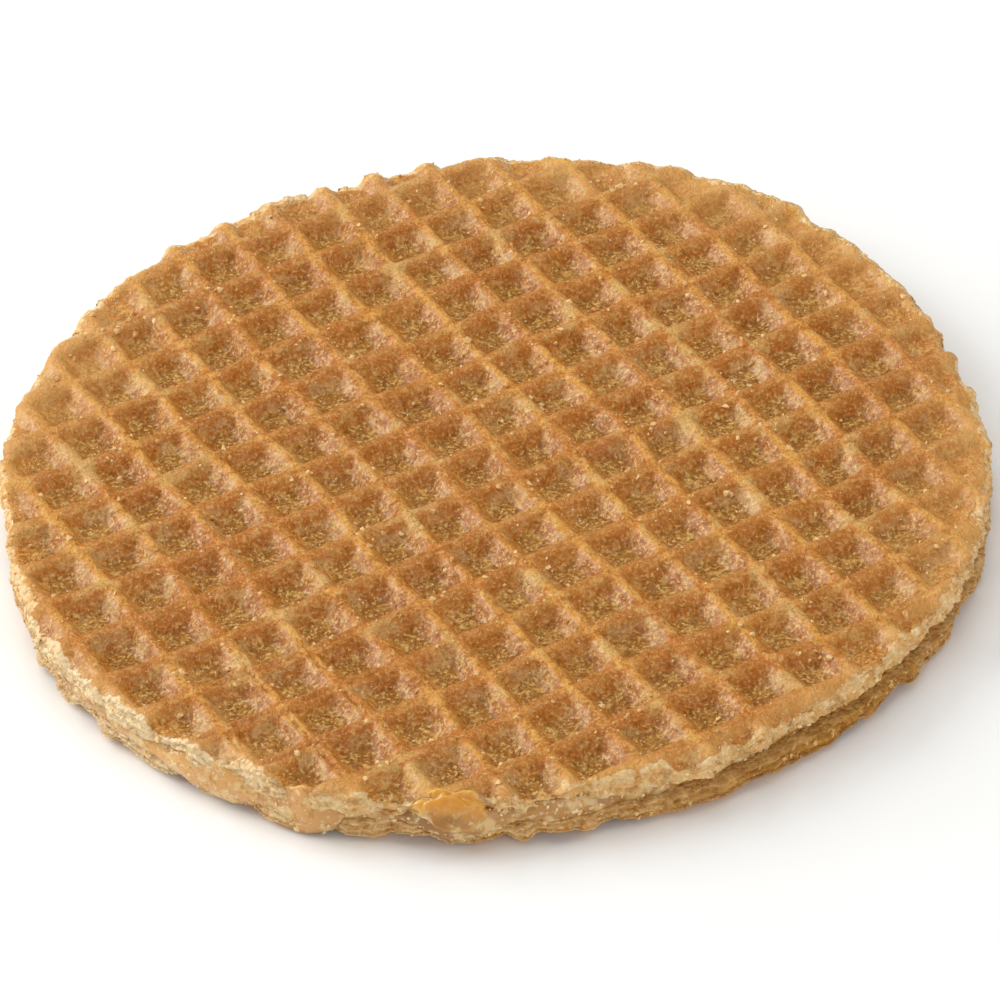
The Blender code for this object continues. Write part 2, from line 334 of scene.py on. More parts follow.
def pitSlopes(tree, sizes, toRidge):
    # 0 on a ridge's crest and 1 on a pit's floor, for each family of ridges
    slopes = []
    for distance, profile in zip(toRidge.outputs, slopeProfiles):
        share = addNode(tree, rangeNode, {}, [distance, 0.0, sizes["pitRun"], 0.0, 1.0])
        slope = addNode(tree, "ShaderNodeFloatCurve", {}, {"Value": share})
        curve = slope.mapping.curves[0]
        for at, height in profile:
            curve.points.new(at, height)
        slope.mapping.update()
        slopes.append(slope)
    return slopes


def pitSpread(tree, sizes, cell):
    # each pit has a depth of its own, by this share
    whole = addNode(tree, vectorNode, {"operation": "FLOOR"}, [cell])
    whole = addNode(tree, vectorNode, {"operation": "MULTIPLY"}, [whole, (1, 1, 0)])
    chance = addNode(tree, "ShaderNodeTexWhiteNoise", {}, [whole])
    lowest = addNode(tree, mathNode, {"operation": "SUBTRACT"}, [1.0, sizes["cellSpread"]])
    highest = addNode(tree, mathNode, {"operation": "ADD"}, [1.0, sizes["cellSpread"]])
    return addNode(tree, rangeNode, {}, [chance, 0.0, 1.0, lowest, highest])


def ridgeCreases(tree, flat, toRidge, creaseAt):
    # near one place the ridges are creased along their middle, with gaps
    groove = addNode(tree, mathNode, {"operation": "MINIMUM"}, list(toRidge.outputs)[:2])
    groove = bandAround(tree, groove, 0.0, 0.27 * mm)
    broken = addNode(tree, noiseNode, {}, {"Vector": flat, "Scale": perMetre(5.0), "Detail": 1.0})
    broken = addNode(tree, rangeNode, {}, [broken, 0.42, 0.54, 0.0, 1.0])
    far = addNode(tree, vectorNode, {"operation": "DISTANCE"}, [flat, creaseAt])
    zone = addNode(tree, rangeNode, {"interpolation_type": "SMOOTHSTEP"},
                   [far, 7 * mm, 15 * mm, 1.0, 0.0])
    for share in (broken, zone):
        groove = addNode(tree, mathNode, {"operation": "MULTIPLY"}, [groove, share])
    return groove


def tintsAndPaintedLight(tree, degrees, room, besideRidge, toRidge, slope):
    # what the crust's colour follows, apart from the relief itself, with painted sheen and painted shade
    # among it
    looks = {}
    for key, start, bumps in (
            ("toast", 0.4, ((310, 0.6, 24), (225, -0.3, 28))),               # torn side, toasted below
            ("bare", 0.15, ((2, 0.6, 26), (50, 0.8, 20), (110, 0.9, 40),     # rim whose crust broke off
                            (208, 0.6, 20), (275, 0.3, 40))),
            ("seep", 0.0, ((50, 1.0, 4), (60, 0.7, 3), (81, 0.8, 4))),       # syrup through the rim
            # rim zones that are paler, in some directions
            ("paleRimZones", 0.0, ((350, 0.7, 22), (60, 1.0, 30), (105, 0.6, 22), (160, 1.0, 18)))):
        looks[key] = addBumps(tree, degrees, start, bumps, 1.0)
    near = addNode(tree, rangeNode, {"interpolation_type": "SMOOTHSTEP"},
                   [room, 1 * mm, 13 * mm, 1.0, 0.0])
    looks["paleRimZones"] = addNode(tree, mathNode, {"operation": "MULTIPLY"}, [looks["paleRimZones"], near])

    # along one family of ridges: amber seams at the shoulders, and browner crests between crossings
    looks["seam"] = bandAround(tree, toRidge.outputs[1], 0.62 * mm, 0.34 * mm)
    clear = addNode(tree, rangeNode, {}, [toRidge.outputs[0], 0.5 * mm, 1.4 * mm, 0.0, 1.0])
    across = bandAround(tree, toRidge.outputs[1], 0.0, 1.3 * mm)
    looks["across"] = addNode(tree, mathNode, {"operation": "MULTIPLY"}, [across, clear])

    # the two slopes of the other family: painted sheen on the lit one, painted shade on the shaded one
    for key, centre in (("paintedSheenSlope", -1.1 * mm), ("paintedShadeSlope", 1.1 * mm)):
        face = addNode(tree, mathNode, {"operation": "SUBTRACT"}, [besideRidge, centre])
        face = addNode(tree, mathNode, {"operation": "ABSOLUTE"}, [face])
        face = addNode(tree, rangeNode, {"interpolation_type": "SMOOTHSTEP"},
                       [face, 0.5 * mm, 0.85 * mm, 1.0, 0.0])
        looks[key] = addNode(tree, mathNode, {"operation": "MULTIPLY"}, [face, slope])
    return looks


def waffleRelief(tree, sizes, blank, rimBlend, rimDepth, creaseAt):
    # ridges, pits, rim and small unevenness as one height over the wafer's plan
    place = addNode(tree, "GeometryNodeInputPosition")
    flat = addNode(tree, vectorNode, {"operation": "MULTIPLY"}, [place, (1, 1, 0)])
    cell, besideRidge, toRidge = gridCells(tree, sizes, flat)
    slopes = pitSlopes(tree, sizes, toRidge)
    pit = addNode(tree, mathNode, {"operation": "SMOOTH_MIN"}, [slopes[0], slopes[1], 0.12])

    # pits are shallower near the edge
    degrees = directionOf(tree, flat)
    edge = addNode(tree, "GeometryNodeInputNamedAttribute", {}, ["edge"])
    reach = addNode(tree, vectorNode, {"operation": "LENGTH"}, [flat])
    room = addNode(tree, mathNode, {"operation": "SUBTRACT"}, [edge, reach])
    rimEnd = addBumps(tree, degrees, sizes["rimBlend"], rimBlend)
    shallow = addBumps(tree, degrees, sizes["rimDepth"], rimDepth, 1.0)
    fade = addNode(tree, rangeNode, {"interpolation_type": "SMOOTHSTEP"},
                   [room, 0.0, rimEnd, shallow, 1.0])
    pit = addNode(tree, mathNode, {"operation": "MULTIPLY"}, [pit, fade])
    depth = pit
    for share in (pitSpread(tree, sizes, cell), sizes["pitDepth"]):
        depth = addNode(tree, mathNode, {"operation": "MULTIPLY"}, [depth, share])

    rim = addNode(tree, rangeNode, {}, [room, 0.0, sizes["rimRun"], 1.0, 0.0])
    fall = addNode(tree, mathNode, {"operation": "POWER"}, [rim, 2.2])
    fall = addNode(tree, mathNode, {"operation": "MULTIPLY"}, [fall, sizes["rimFall"]])
    groove = ridgeCreases(tree, flat, toRidge, creaseAt)
    crease = addNode(tree, mathNode, {"operation": "MULTIPLY"}, [groove, sizes["creaseDepth"]])
    height = sizes["height"]
    for field in (depth, fall, crease):
        height = addNode(tree, mathNode, {"operation": "SUBTRACT"}, [height, field])
    for millimetres, key in ((28.0, "waviness"), (2.2, "lumps"), (0.9, "lumps")):
        field = signedNoise(tree, flat, millimetres, 1.0)
        height = addNode(tree, mathNode, {"operation": "MULTIPLY_ADD"}, [field, sizes[key], height])

    # the side runs down to a ragged inner face
    outer = addNode(tree, rangeNode, {}, [room, 0.0, 1.5 * mm, 1.0, 0.0])
    base = signedNoise(tree, flat, 2.4, 1.0, 3.0)
    base = addNode(tree, mathNode, {"operation": "MULTIPLY"}, [base, outer])
    base = addNode(tree, mathNode, {"operation": "MULTIPLY_ADD"}, [base, sizes["baseTear"], sizes["base"]])
    side = addNode(tree, "GeometryNodeInputNamedAttribute", {}, ["side"])
    level = addNode(tree, mixNode, {}, [side, height, base])

    # ridges reach a little further out than pits
    dent = pit
    for share in (outer, sizes["scallop"], -1.0):
        dent = addNode(tree, mathNode, {"operation": "MULTIPLY"}, [dent, share])
    outward = addNode(tree, vectorNode, {"operation": "NORMALIZE"}, [flat])
    dent = addNode(tree, vectorNode, {"operation": "SCALE"}, [outward, dent])
    moved = addNode(tree, vectorNode, {"operation": "ADD"}, [flat, dent])
    parts = addNode(tree, "ShaderNodeSeparateXYZ", {}, [moved])
    moved = addNode(tree, "ShaderNodeCombineXYZ", {}, [parts.outputs[0], parts.outputs[1], level])

    # the crust's material and the crumbs read these
    wall = addNode(tree, mathNode, {"operation": "SUBTRACT"}, [1.0, pit])
    wall = addNode(tree, mathNode, {"operation": "MULTIPLY"}, [wall, pit])
    roomMm = addNode(tree, mathNode, {"operation": "DIVIDE"}, [room, mm])
    looks = tintsAndPaintedLight(tree, degrees, room, besideRidge, toRidge, slopes[1])
    looks.update(pit=pit, room=roomMm, wall=wall, crease=groove)
    for key, field in looks.items():
        blank = addNode(tree, storeNode, {}, [blank, None, key, field])
    return addNode(tree, "GeometryNodeSetPosition", {}, {"Geometry": blank, "Position": moved})


def tornSide(tree, sizes, blank):
    # the broken, porous side swells a little and is full of small hollows
    place = addNode(tree, "GeometryNodeInputPosition")
    flat = addNode(tree, vectorNode, {"operation": "MULTIPLY"}, [place, (1, 1, 0)])
    outward = addNode(tree, vectorNode, {"operation": "NORMALIZE"}, [flat])
    side = addNode(tree, "GeometryNodeInputNamedAttribute", {}, ["side"])
    room = addNode(tree, "GeometryNodeInputNamedAttribute", {}, ["room"])
    outer = addNode(tree, rangeNode, {}, [room, 0.0, 0.6, 1.0, 0.0])
    onSide = addNode(tree, rangeNode, {}, [side, 0.0, 0.25, 0.25, 1.0])
    onSide = addNode(tree, mathNode, {"operation": "MULTIPLY"}, [onSide, outer])
    swell = addNode(tree, mathNode, {"operation": "SUBTRACT"}, [1.0, side])
    for share in (side, 4.0, sizes["belly"]):
        swell = addNode(tree, mathNode, {"operation": "MULTIPLY"}, [swell, share])
    for millimetres, share in ((2.6, 0.9), (1.0, 0.8), (0.55, 0.5)):
        ragged = signedNoise(tree, place, millimetres, share)
        swell = addNode(tree, mathNode, {"operation": "MULTIPLY_ADD"}, [ragged, sizes["tear"], swell])
    swell = addNode(tree, mathNode, {"operation": "MULTIPLY"}, [swell, onSide])
    offset = addNode(tree, vectorNode, {"operation": "SCALE"}, [outward, swell])
    return addNode(tree, "GeometryNodeSetPosition", {}, {"Geometry": blank, "Offset": offset})


def makeWafer(name, sizes, bumps, material, rimBlend=(), rimDepth=(), creaseAt=(0, 0, 0),
              faceDown=False):
    # one baked wafer: grid, edge, relief and torn side, lying with its grid up or down
    tree, given, result = newShapeTree(name + "Shape", sizes)
    blank, isOpen = roundBlank(tree, given, latticeGrid(tree, given), bumps)
    blank = closeBlank(tree, blank, isOpen)
    blank = waffleRelief(tree, given, blank, rimBlend, rimDepth, creaseAt)
    blank = tornSide(tree, given, blank)
    if faceDown:
        blank = addNode(tree, "GeometryNodeTransform", {},
                        {"Geometry": blank, "Scale": (1, 1, -1), "Translation": (0, 0, bottomHigh.z)})
        blank = addNode(tree, "GeometryNodeFlipFaces", {}, [blank])
    blank = addNode(tree, "GeometryNodeTransform", {}, {"Geometry": blank, "Translation": middle})
    blank = addNode(tree, "GeometryNodeRealizeInstances", {}, [blank])
    blank = addNode(tree, "GeometryNodeSetShadeSmooth", {}, [blank])
    blank = addNode(tree, "GeometryNodeSetMaterial", {}, {"Geometry": blank, "Material": material})
    tree.links.new(blank.outputs[0], result)
    return growPiece(name, tree, sizes, material)


def syrupTongue(tree, place, up):
    # a dented, flattened ball of syrup that leans over the crust and fades into the rest below
    tongue = addNode(tree, "GeometryNodeMeshUVSphere", {}, [64, 40, 1.0])
    honey = addNode(tree, rangeNode, {"interpolation_type": "SMOOTHSTEP"}, [up, -0.8, 0.2, 0.0, 1.0])
    for key, field in (("lip", honey), ("room", 1.0)):
        tongue = addNode(tree, storeNode, {}, [tongue, None, key, field])
    dent = signedNoise(tree, place, 700.0, 0.26)    # the ball is still 1 m in radius here
    dent = addNode(tree, vectorNode, {"operation": "SCALE"}, [place, dent])
    tongue = addNode(tree, "GeometryNodeSetPosition", {}, {"Geometry": tongue, "Offset": dent})
    bearing = math.radians(syrupLip["direction"])
    foot = (syrupLip["reach"] * math.cos(bearing), syrupLip["reach"] * math.sin(bearing),
            syrupHigh.z + syrupLip["lift"])
    return addNode(tree, "GeometryNodeTransform", {}, {
        "Geometry": tongue, "Translation": foot,
        "Rotation": (math.radians(syrupLip["lean"]), 0, bearing - math.pi / 2),
        "Scale": (syrupLip["halfWidth"], syrupLip["halfThick"], syrupLip["halfHeight"])})


def makeSyrup(name, sizes, material):
    # a disc of syrup whose edge swells out, up and down where it has oozed
    tree, given, result = newShapeTree(name + "Shape", sizes)
    disc = addNode(tree, "GeometryNodeMeshCylinder", {"fill_type": "TRIANGLE_FAN"},
                   [given["around"], given["upSteps"], given["fillSteps"], 1.0, 2.0])
    place = addNode(tree, "GeometryNodeInputPosition")
    flat = addNode(tree, vectorNode, {"operation": "MULTIPLY"}, [place, (1, 1, 0)])
    parts = addNode(tree, "ShaderNodeSeparateXYZ", {}, [place])
    up = parts.outputs[2]
    degrees = directionOf(tree, place)
    # rings crowd together at the edge, where the skin rises and sinks
    share = addNode(tree, vectorNode, {"operation": "LENGTH"}, [flat])
    share = addNode(tree, mathNode, {"operation": "SUBTRACT", "use_clamp": True}, [1.0, share])
    share = addNode(tree, mathNode, {"operation": "POWER"}, [share, 2.5])
    share = addNode(tree, mathNode, {"operation": "SUBTRACT"}, [1.0, share])
    outer = addNode(tree, rangeNode, {"interpolation_type": "SMOOTHSTEP"}, [share, 0.96, 0.995, 0.0, 1.0])
    room = addNode(tree, mathNode, {"operation": "SUBTRACT"}, [1.0, share])
    disc = addNode(tree, storeNode, {}, [disc, None, "room", room])
    edge = edgeRadius(tree, degrees, given, syrupBumps)
    # round profile: full reach at mid height, pulled in at both skins
    squared = addNode(tree, mathNode, {"operation": "MULTIPLY"}, [up, up])
    swell = addNode(tree, mathNode, {"operation": "MULTIPLY_ADD"}, [squared, -1.0, 0.5])
    edge = addNode(tree, mathNode, {"operation": "MULTIPLY_ADD"}, [swell, given["bulge"], edge])
    reach = addNode(tree, mathNode, {"operation": "MULTIPLY"}, [edge, share])
    outward = addNode(tree, vectorNode, {"operation": "NORMALIZE"}, [flat])
    flat = addNode(tree, vectorNode, {"operation": "SCALE"}, [outward, reach])
    zero = addNode(tree, mathNode, {"operation": "MULTIPLY"}, [share, 0.0])
    lift = addBumps(tree, degrees, zero, syrupTop)
    torn = signedNoise(tree, flat, 2.6, 0.35 * mm)
    lift = addNode(tree, mathNode, {"operation": "ADD"}, [lift, torn])
    high = addNode(tree, mathNode, {"operation": "MULTIPLY_ADD"}, [lift, outer, given["high"]])
    sink = addBumps(tree, degrees, torn, syrupBottom)
    low = addNode(tree, mathNode, {"operation": "MULTIPLY_ADD"}, [sink, outer, given["low"]])
    level = addNode(tree, rangeNode, {}, [up, -1.0, 1.0, low, high])
    parts = addNode(tree, "ShaderNodeSeparateXYZ", {}, [flat])
    moved = addNode(tree, "ShaderNodeCombineXYZ", {}, [parts.outputs[0], parts.outputs[1], level])
    disc = addNode(tree, "GeometryNodeSetPosition", {}, {"Geometry": disc, "Position": moved})

    # uneven skin
    ripple = signedNoise(tree, place, 3.5, 1.0, 1.0)
    ripple = addNode(tree, mathNode, {"operation": "MULTIPLY"}, [ripple, given["ripple"]])
    normal = addNode(tree, "GeometryNodeInputNormal")
    ripple = addNode(tree, vectorNode, {"operation": "SCALE"}, [normal, ripple])
    disc = addNode(tree, "GeometryNodeSetPosition", {}, {"Geometry": disc, "Offset": ripple})
    # crumb sticks to it here
    coat = addBumps(tree, directionOf(tree, place), 0.0, ((234, 1.0, 13), (249, 0.6, 6)), 1.0)
    disc = addNode(tree, storeNode, {}, [disc, None, "coat", coat])

    tongue = syrupTongue(tree, place, up)
    joined = addNode(tree, "GeometryNodeJoinGeometry")
    for part in (tongue, disc):
        tree.links.new(part.outputs[0], joined.inputs[0])
    disc = addNode(tree, "GeometryNodeTransform", {}, {"Geometry": joined, "Translation": middle})
    disc = addNode(tree, "GeometryNodeRealizeInstances", {}, [disc])
    disc = addNode(tree, "GeometryNodeSetShadeSmooth", {}, [disc])
    disc = addNode(tree, "GeometryNodeSetMaterial", {}, {"Geometry": disc, "Material": material})
    tree.links.new(disc.outputs[0], result)
    return growPiece(name, tree, sizes, material)


# how dense they lie at most, and their smallest half width and what the largest have beyond it
crustCrumbs = {"perSquareMetre": 650000.0, "size": 0.11 * mm, "spread": 0.28 * mm, "seed": 4}
sugarGrains = {"perSquareMetre": 480000.0, "size": 0.085 * mm, "spread": 0.05 * mm, "seed": 9}
syrupCrumbs = {"perSquareMetre": 4000000.0, "size": 0.08 * mm, "spread": 0.2 * mm, "seed": 23}
sideCrumbs = {"perSquareMetre": 5000000.0, "size": 0.09 * mm, "spread": 0.22 * mm, "seed": 15}


def scatterOn(name, ground, sizes, material, sides, pitShare, clump, mostRoom=60.0):
    # irregular bits where the ground's side attribute is between two values, in clumps of some mm
    tree, given, result = newShapeTree(name + "Scatter", sizes)
    side = addNode(tree, "GeometryNodeInputNamedAttribute", {}, ["side"])
    above = addNode(tree, mathNode, {"operation": "GREATER_THAN"}, [side, sides[0]])
    below = addNode(tree, mathNode, {"operation": "LESS_THAN"}, [side, sides[1]])
    here = addNode(tree, mathNode, {"operation": "MULTIPLY"}, [above, below])
    room = addNode(tree, "GeometryNodeInputNamedAttribute", {}, ["room"])
    onEdge = addNode(tree, mathNode, {"operation": "LESS_THAN"}, [room, mostRoom])
    here = addNode(tree, mathNode, {"operation": "MULTIPLY"}, [here, onEdge])
    place = addNode(tree, "GeometryNodeInputPosition")
    pit = addNode(tree, "GeometryNodeInputNamedAttribute", {}, ["pit"])
    inPit = addNode(tree, rangeNode, {}, [pit, 0.0, 1.0, 1 - pitShare, pitShare])
    clumps = addNode(tree, noiseNode, {}, {"Vector": place, "Scale": perMetre(clump), "Detail": 2.0})
    clumps = addNode(tree, rangeNode, {}, [clumps, 0.42, 0.68, 0.05, 1.0])
    density = inPit
    for share in (clumps, here, given["perSquareMetre"]):
        density = addNode(tree, mathNode, {"operation": "MULTIPLY"}, [density, share])
    spots = addNode(tree, "GeometryNodeDistributePointsOnFaces", {},
                    {"Mesh": given["Geometry"], "Density": density, "Seed": given["seed"]})
    turn = addNode(tree, "FunctionNodeRandomValue", {"data_type": "FLOAT_VECTOR"},
                   {"Min": (0, 0, 0), "Max": (6.28, 6.28, 6.28), "Seed": given["seed"]})
    chance = addNode(tree, "FunctionNodeRandomValue", {}, {"Min": 0.0, "Max": 1.0,
                                                           "Seed": given["seed"]})
    chance = addNode(tree, mathNode, {"operation": "POWER"}, [chance, 3.0])
    scale = addNode(tree, mathNode, {"operation": "MULTIPLY_ADD"},
                    [chance, given["spread"], given["size"]])
    uneven = addNode(tree, "FunctionNodeRandomValue", {"data_type": "FLOAT_VECTOR"},
                     {"Min": (0.5, 0.5, 0.5), "Max": (1.4, 1.3, 1.2), "Seed": given["seed"]})
    scale = addNode(tree, vectorNode, {"operation": "SCALE"}, [uneven, scale])
    ball = addNode(tree, "GeometryNodeMeshIcoSphere", {}, {"Radius": 1.0, "Subdivisions": 1})
    bits = addNode(tree, "GeometryNodeInstanceOnPoints", {},
                   {"Points": spots, "Instance": ball, "Rotation": turn, "Scale": scale})
    bits = addNode(tree, "GeometryNodeRealizeInstances", {}, [bits])
    # no two bits are alike: their corners are pushed about
    jolt = addNode(tree, "ShaderNodeTexWhiteNoise", {}, [place])
    jolt = addNode(tree, vectorNode, {"operation": "SUBTRACT"}, [jolt.outputs["Color"], (0.5, 0.5, 0.5)])
    push = addNode(tree, mathNode, {"operation": "MULTIPLY_ADD"}, [given["spread"], 0.25, given["size"]])
    jolt = addNode(tree, vectorNode, {"operation": "SCALE"}, [jolt, push])
    bits = addNode(tree, "GeometryNodeSetPosition", {}, {"Geometry": bits, "Offset": jolt})
    bits = addNode(tree, "GeometryNodeSetMaterial", {}, {"Geometry": bits, "Material": material})
    tree.links.new(bits.outputs[0], result)
    return growPiece(name, tree, sizes, material, start=ground.data)


def newMaterial(name, numbers):
    # numbers are the same all over the surface, so they stand on the shader's own sockets
    material = bpy.data.materials.new(name)
    material.use_nodes = True
    tree = material.node_tree
    shader = tree.nodes["Principled BSDF"]
    for key, value in numbers.items():
        shader.inputs[key].default_value = value
    place = addNode(tree, "ShaderNodeTexCoord").outputs["Object"]
    return material, tree, shader, place


def patches(tree, place, millimetres, start, end, detail=3.0, strength=1.0):
    # soft-edged patches of one size: noise between two levels
    noise = addNode(tree, noiseNode, {}, {"Vector": place, "Scale": perMetre(millimetres),
                                          "Detail": detail})
    return addNode(tree, rangeNode, {"interpolation_type": "SMOOTHSTEP"},
                   [noise, start, end, 0.0, strength])


def linkUp(tree, shader, values):
    # each node's first output to the shader's socket of that name
    for key, value in values.items():
        tree.links.new(next(s for s in value.outputs if s.enabled), shader.inputs[key])


def blendColours(tree, share, under, over):
    # hex values or nodes, mixed by a share from 0 to 1
    colours = [linearColour(c) if isinstance(c, str) else c for c in (under, over)]
    return addNode(tree, mixNode, {"data_type": "RGBA"}, [share, *colours])


def batterColourAndPaintedLight(tree, place, values):
    # browned ridges, walls and floors, with painted sheen and painted shade on some slopes, creases and
    # pit floors, and the noises that the relief and the shine use too
    colour = blendColours(tree, patches(tree, place, 9.0, 0.38, 0.62), "#CC7A18", "#E69F38")
    walls = addNode(tree, rangeNode, {}, [values["wall"], 0.03, 0.2, 0.0, 0.7])
    colour = blendColours(tree, walls, colour, "#CA750A")
    # pit floors darker: partly the batter's own colour, partly painted shade in the hollows
    floor = addNode(tree, rangeNode, {"interpolation_type": "SMOOTHSTEP"},
                    [values["pit"], 0.7, 0.97, 0.0, 0.9])
    colour = blendColours(tree, floor, colour, "#A26A0A")
    # crests between crossings darker; a painted sheen on one slope of each ridge and painted shade in
    # saturated orange on the other
    for key, share, tint in (("across", 0.6, "#B16B06"), ("paintedSheenSlope", 0.5, "#B27C54"),
                             ("paintedShadeSlope", 0.75, "#DE8A1C")):
        part = addNode(tree, mathNode, {"operation": "MULTIPLY"}, [values[key], share])
        colour = blendColours(tree, part, colour, tint)
    # the creases painted darker: painted shade in the grooves
    crease = addNode(tree, rangeNode, {}, [values["crease"], 0.35, 0.95, 0.0, 0.85])
    colour = blendColours(tree, crease, colour, "#B05E0A")

    # batter that browned unevenly: amber and golden mottling of about a millimetre
    mottle = addNode(tree, noiseNode, {}, {"Vector": place, "Scale": perMetre(1.15), "Detail": 4.0,
                                           "Roughness": 0.62, "Distortion": 0.25})
    amber = addNode(tree, rangeNode, {}, [mottle, 0.49, 0.34, 0.0, 0.6])
    colour = blendColours(tree, amber, colour, "#9E5806")
    gold = addNode(tree, rangeNode, {}, [mottle, 0.52, 0.68, 0.0, 0.65])
    colour = blendColours(tree, gold, colour, "#EBB254")
    pale = patches(tree, place, 3.6, 0.55, 0.65, 2.0, 0.7)
    pale = addNode(tree, mathNode, {"operation": "MULTIPLY"}, [pale, walls])
    colour = blendColours(tree, pale, colour, "#DDBA7C")

    onRidge = addNode(tree, rangeNode, {}, [values["pit"], 0.2, 0.7, 0.7, 0.0])
    yellow = patches(tree, place, 5.5, 0.56, 0.66, 2.0)
    yellow = addNode(tree, mathNode, {"operation": "MULTIPLY"}, [yellow, onRidge])
    colour = blendColours(tree, yellow, colour, "#E0B264")
    seams = patches(tree, place, 2.4, 0.46, 0.56, 2.0, 0.95)
    seams = addNode(tree, mathNode, {"operation": "MULTIPLY"}, [seams, values["seam"]])
    colour = blendColours(tree, seams, colour, "#C67002")

    # sugar and air bubbles as fine pale flecks, with dark pores between them in the pits; on the sheen
    # slope the flecks are painted glints too
    flecks = addNode(tree, noiseNode, {}, {"Vector": place, "Scale": perMetre(0.36), "Detail": 3.0,
                                           "Roughness": 0.65})
    few = addNode(tree, rangeNode, {}, [values["pit"], 0.0, 0.9, 0.55, 0.9])
    few = addNode(tree, mathNode, {"operation": "MAXIMUM"}, [few, values["paintedSheenSlope"]])
    specks = addNode(tree, rangeNode, {}, [flecks, 0.53, 0.64, 0.0, few])
    colour = blendColours(tree, specks, colour, "#F0C878")
    pores = addNode(tree, rangeNode, {}, [values["pit"], 0.4, 0.97, 0.4, 0.78])
    dark = addNode(tree, rangeNode, {}, [flecks, 0.47, 0.34, 0.0, pores])
    colour = blendColours(tree, dark, colour, "#824A08")

    for key, share, tint in (("across", 0.3, "#B96A04"), ("paleRimZones", 0.5, "#E6AC5C")):
        part = addNode(tree, mathNode, {"operation": "MULTIPLY"}, [values[key], share])
        colour = blendColours(tree, part, colour, tint)

    # the crust is thin and golden along its rim
    golden = addNode(tree, rangeNode, {"interpolation_type": "SMOOTHSTEP"},
                     [values["room"], 0.3, 3.2, 0.95, 0.0])
    golden = addNode(tree, mathNode, {"operation": "MULTIPLY"}, [golden, onRidge])
    colour = blendColours(tree, golden, colour, "#E6AA58")
    seep = addNode(tree, rangeNode, {}, [values["room"], 0.6, 2.0, 1.0, 0.0])
    seep = addNode(tree, mathNode, {"operation": "MULTIPLY"}, [seep, values["seep"]])
    seep = addNode(tree, mathNode, {"operation": "MULTIPLY"},
                   [seep, patches(tree, place, 2.0, 0.42, 0.54, 2.0, 0.9)])
    colour = blendColours(tree, seep, colour, "#EDB53A")
    return colour, mottle, flecks


def tornCrumb(tree, place, values):
    # torn side: pale grains of crumb above, toasted ones below
    bent = addNode(tree, noiseNode, {}, {"Vector": place, "Scale": perMetre(1.5), "Detail": 3.0})
    bent = addNode(tree, vectorNode, {"operation": "MULTIPLY_ADD"},
                   [bent.outputs["Color"], (0.8 * mm,) * 3, place])
    grains = addNode(tree, "ShaderNodeTexVoronoi", {}, {"Vector": bent, "Scale": perMetre(0.5)})
    chance = addNode(tree, "ShaderNodeSeparateColor", {}, [grains.outputs["Color"]]).outputs[0]
    chance = addNode(tree, mixNode, {}, [0.5, chance, patches(tree, place, 1.2, 0.36, 0.62)])
    light = blendColours(tree, chance, "#F6D8A4", "#E2A858")
    creamy = addNode(tree, rangeNode, {}, [values["toast"], 0.34, 0.12, 0.0, 0.6])
    light = blendColours(tree, creamy, light, "#F8E2B8")
    toasted = blendColours(tree, chance, "#D49C44", "#985E0E")
    height = addNode(tree, "ShaderNodeSeparateXYZ", {}, [place]).outputs[2]
    below = addNode(tree, rangeNode, {}, [height, 2.2 * mm, 4.2 * mm, 1.0, 0.0])
    below = addNode(tree, mathNode, {"operation": "MULTIPLY", "use_clamp": True},
                    [below, values["toast"]])
    crumb = blendColours(tree, below, light, toasted)
    crumb = blendColours(tree, patches(tree, place, 1.6, 0.54, 0.66, 3.0, 0.5), crumb, "#B87E38")
    return crumb, grains.outputs["Distance"]


def tornShare(tree, place, values):
    # 1 where the crust is torn off: the side, and a ragged strip of the rim
    edgeNoise = addNode(tree, noiseNode, {}, {"Vector": place, "Scale": perMetre(1.1), "Detail": 3.0})
    border = addNode(tree, mathNode, {"operation": "MULTIPLY_ADD"}, [edgeNoise, 0.5, values["side"]])
    torn = addNode(tree, rangeNode, {"interpolation_type": "SMOOTHSTEP"}, [border, 0.34, 0.5, 0.0, 1.0])
    crustEnd = addNode(tree, mathNode, {"operation": "MULTIPLY_ADD"}, [edgeNoise, -2.0, values["bare"]])
    wide = addNode(tree, noiseNode, {}, {"Vector": place, "Scale": perMetre(4.5), "Detail": 2.0})
    crustEnd = addNode(tree, mathNode, {"operation": "MULTIPLY_ADD"}, [wide, -3.0, crustEnd])
    crustEnd = addNode(tree, mathNode, {"operation": "SUBTRACT"}, [crustEnd, values["room"]])
    bareRim = addNode(tree, rangeNode, {"interpolation_type": "SMOOTHSTEP"},
                      [crustEnd, -2.6, -2.3, 0.0, 1.0])
    return addNode(tree, mathNode, {"operation": "MAXIMUM"}, [torn, bareRim])


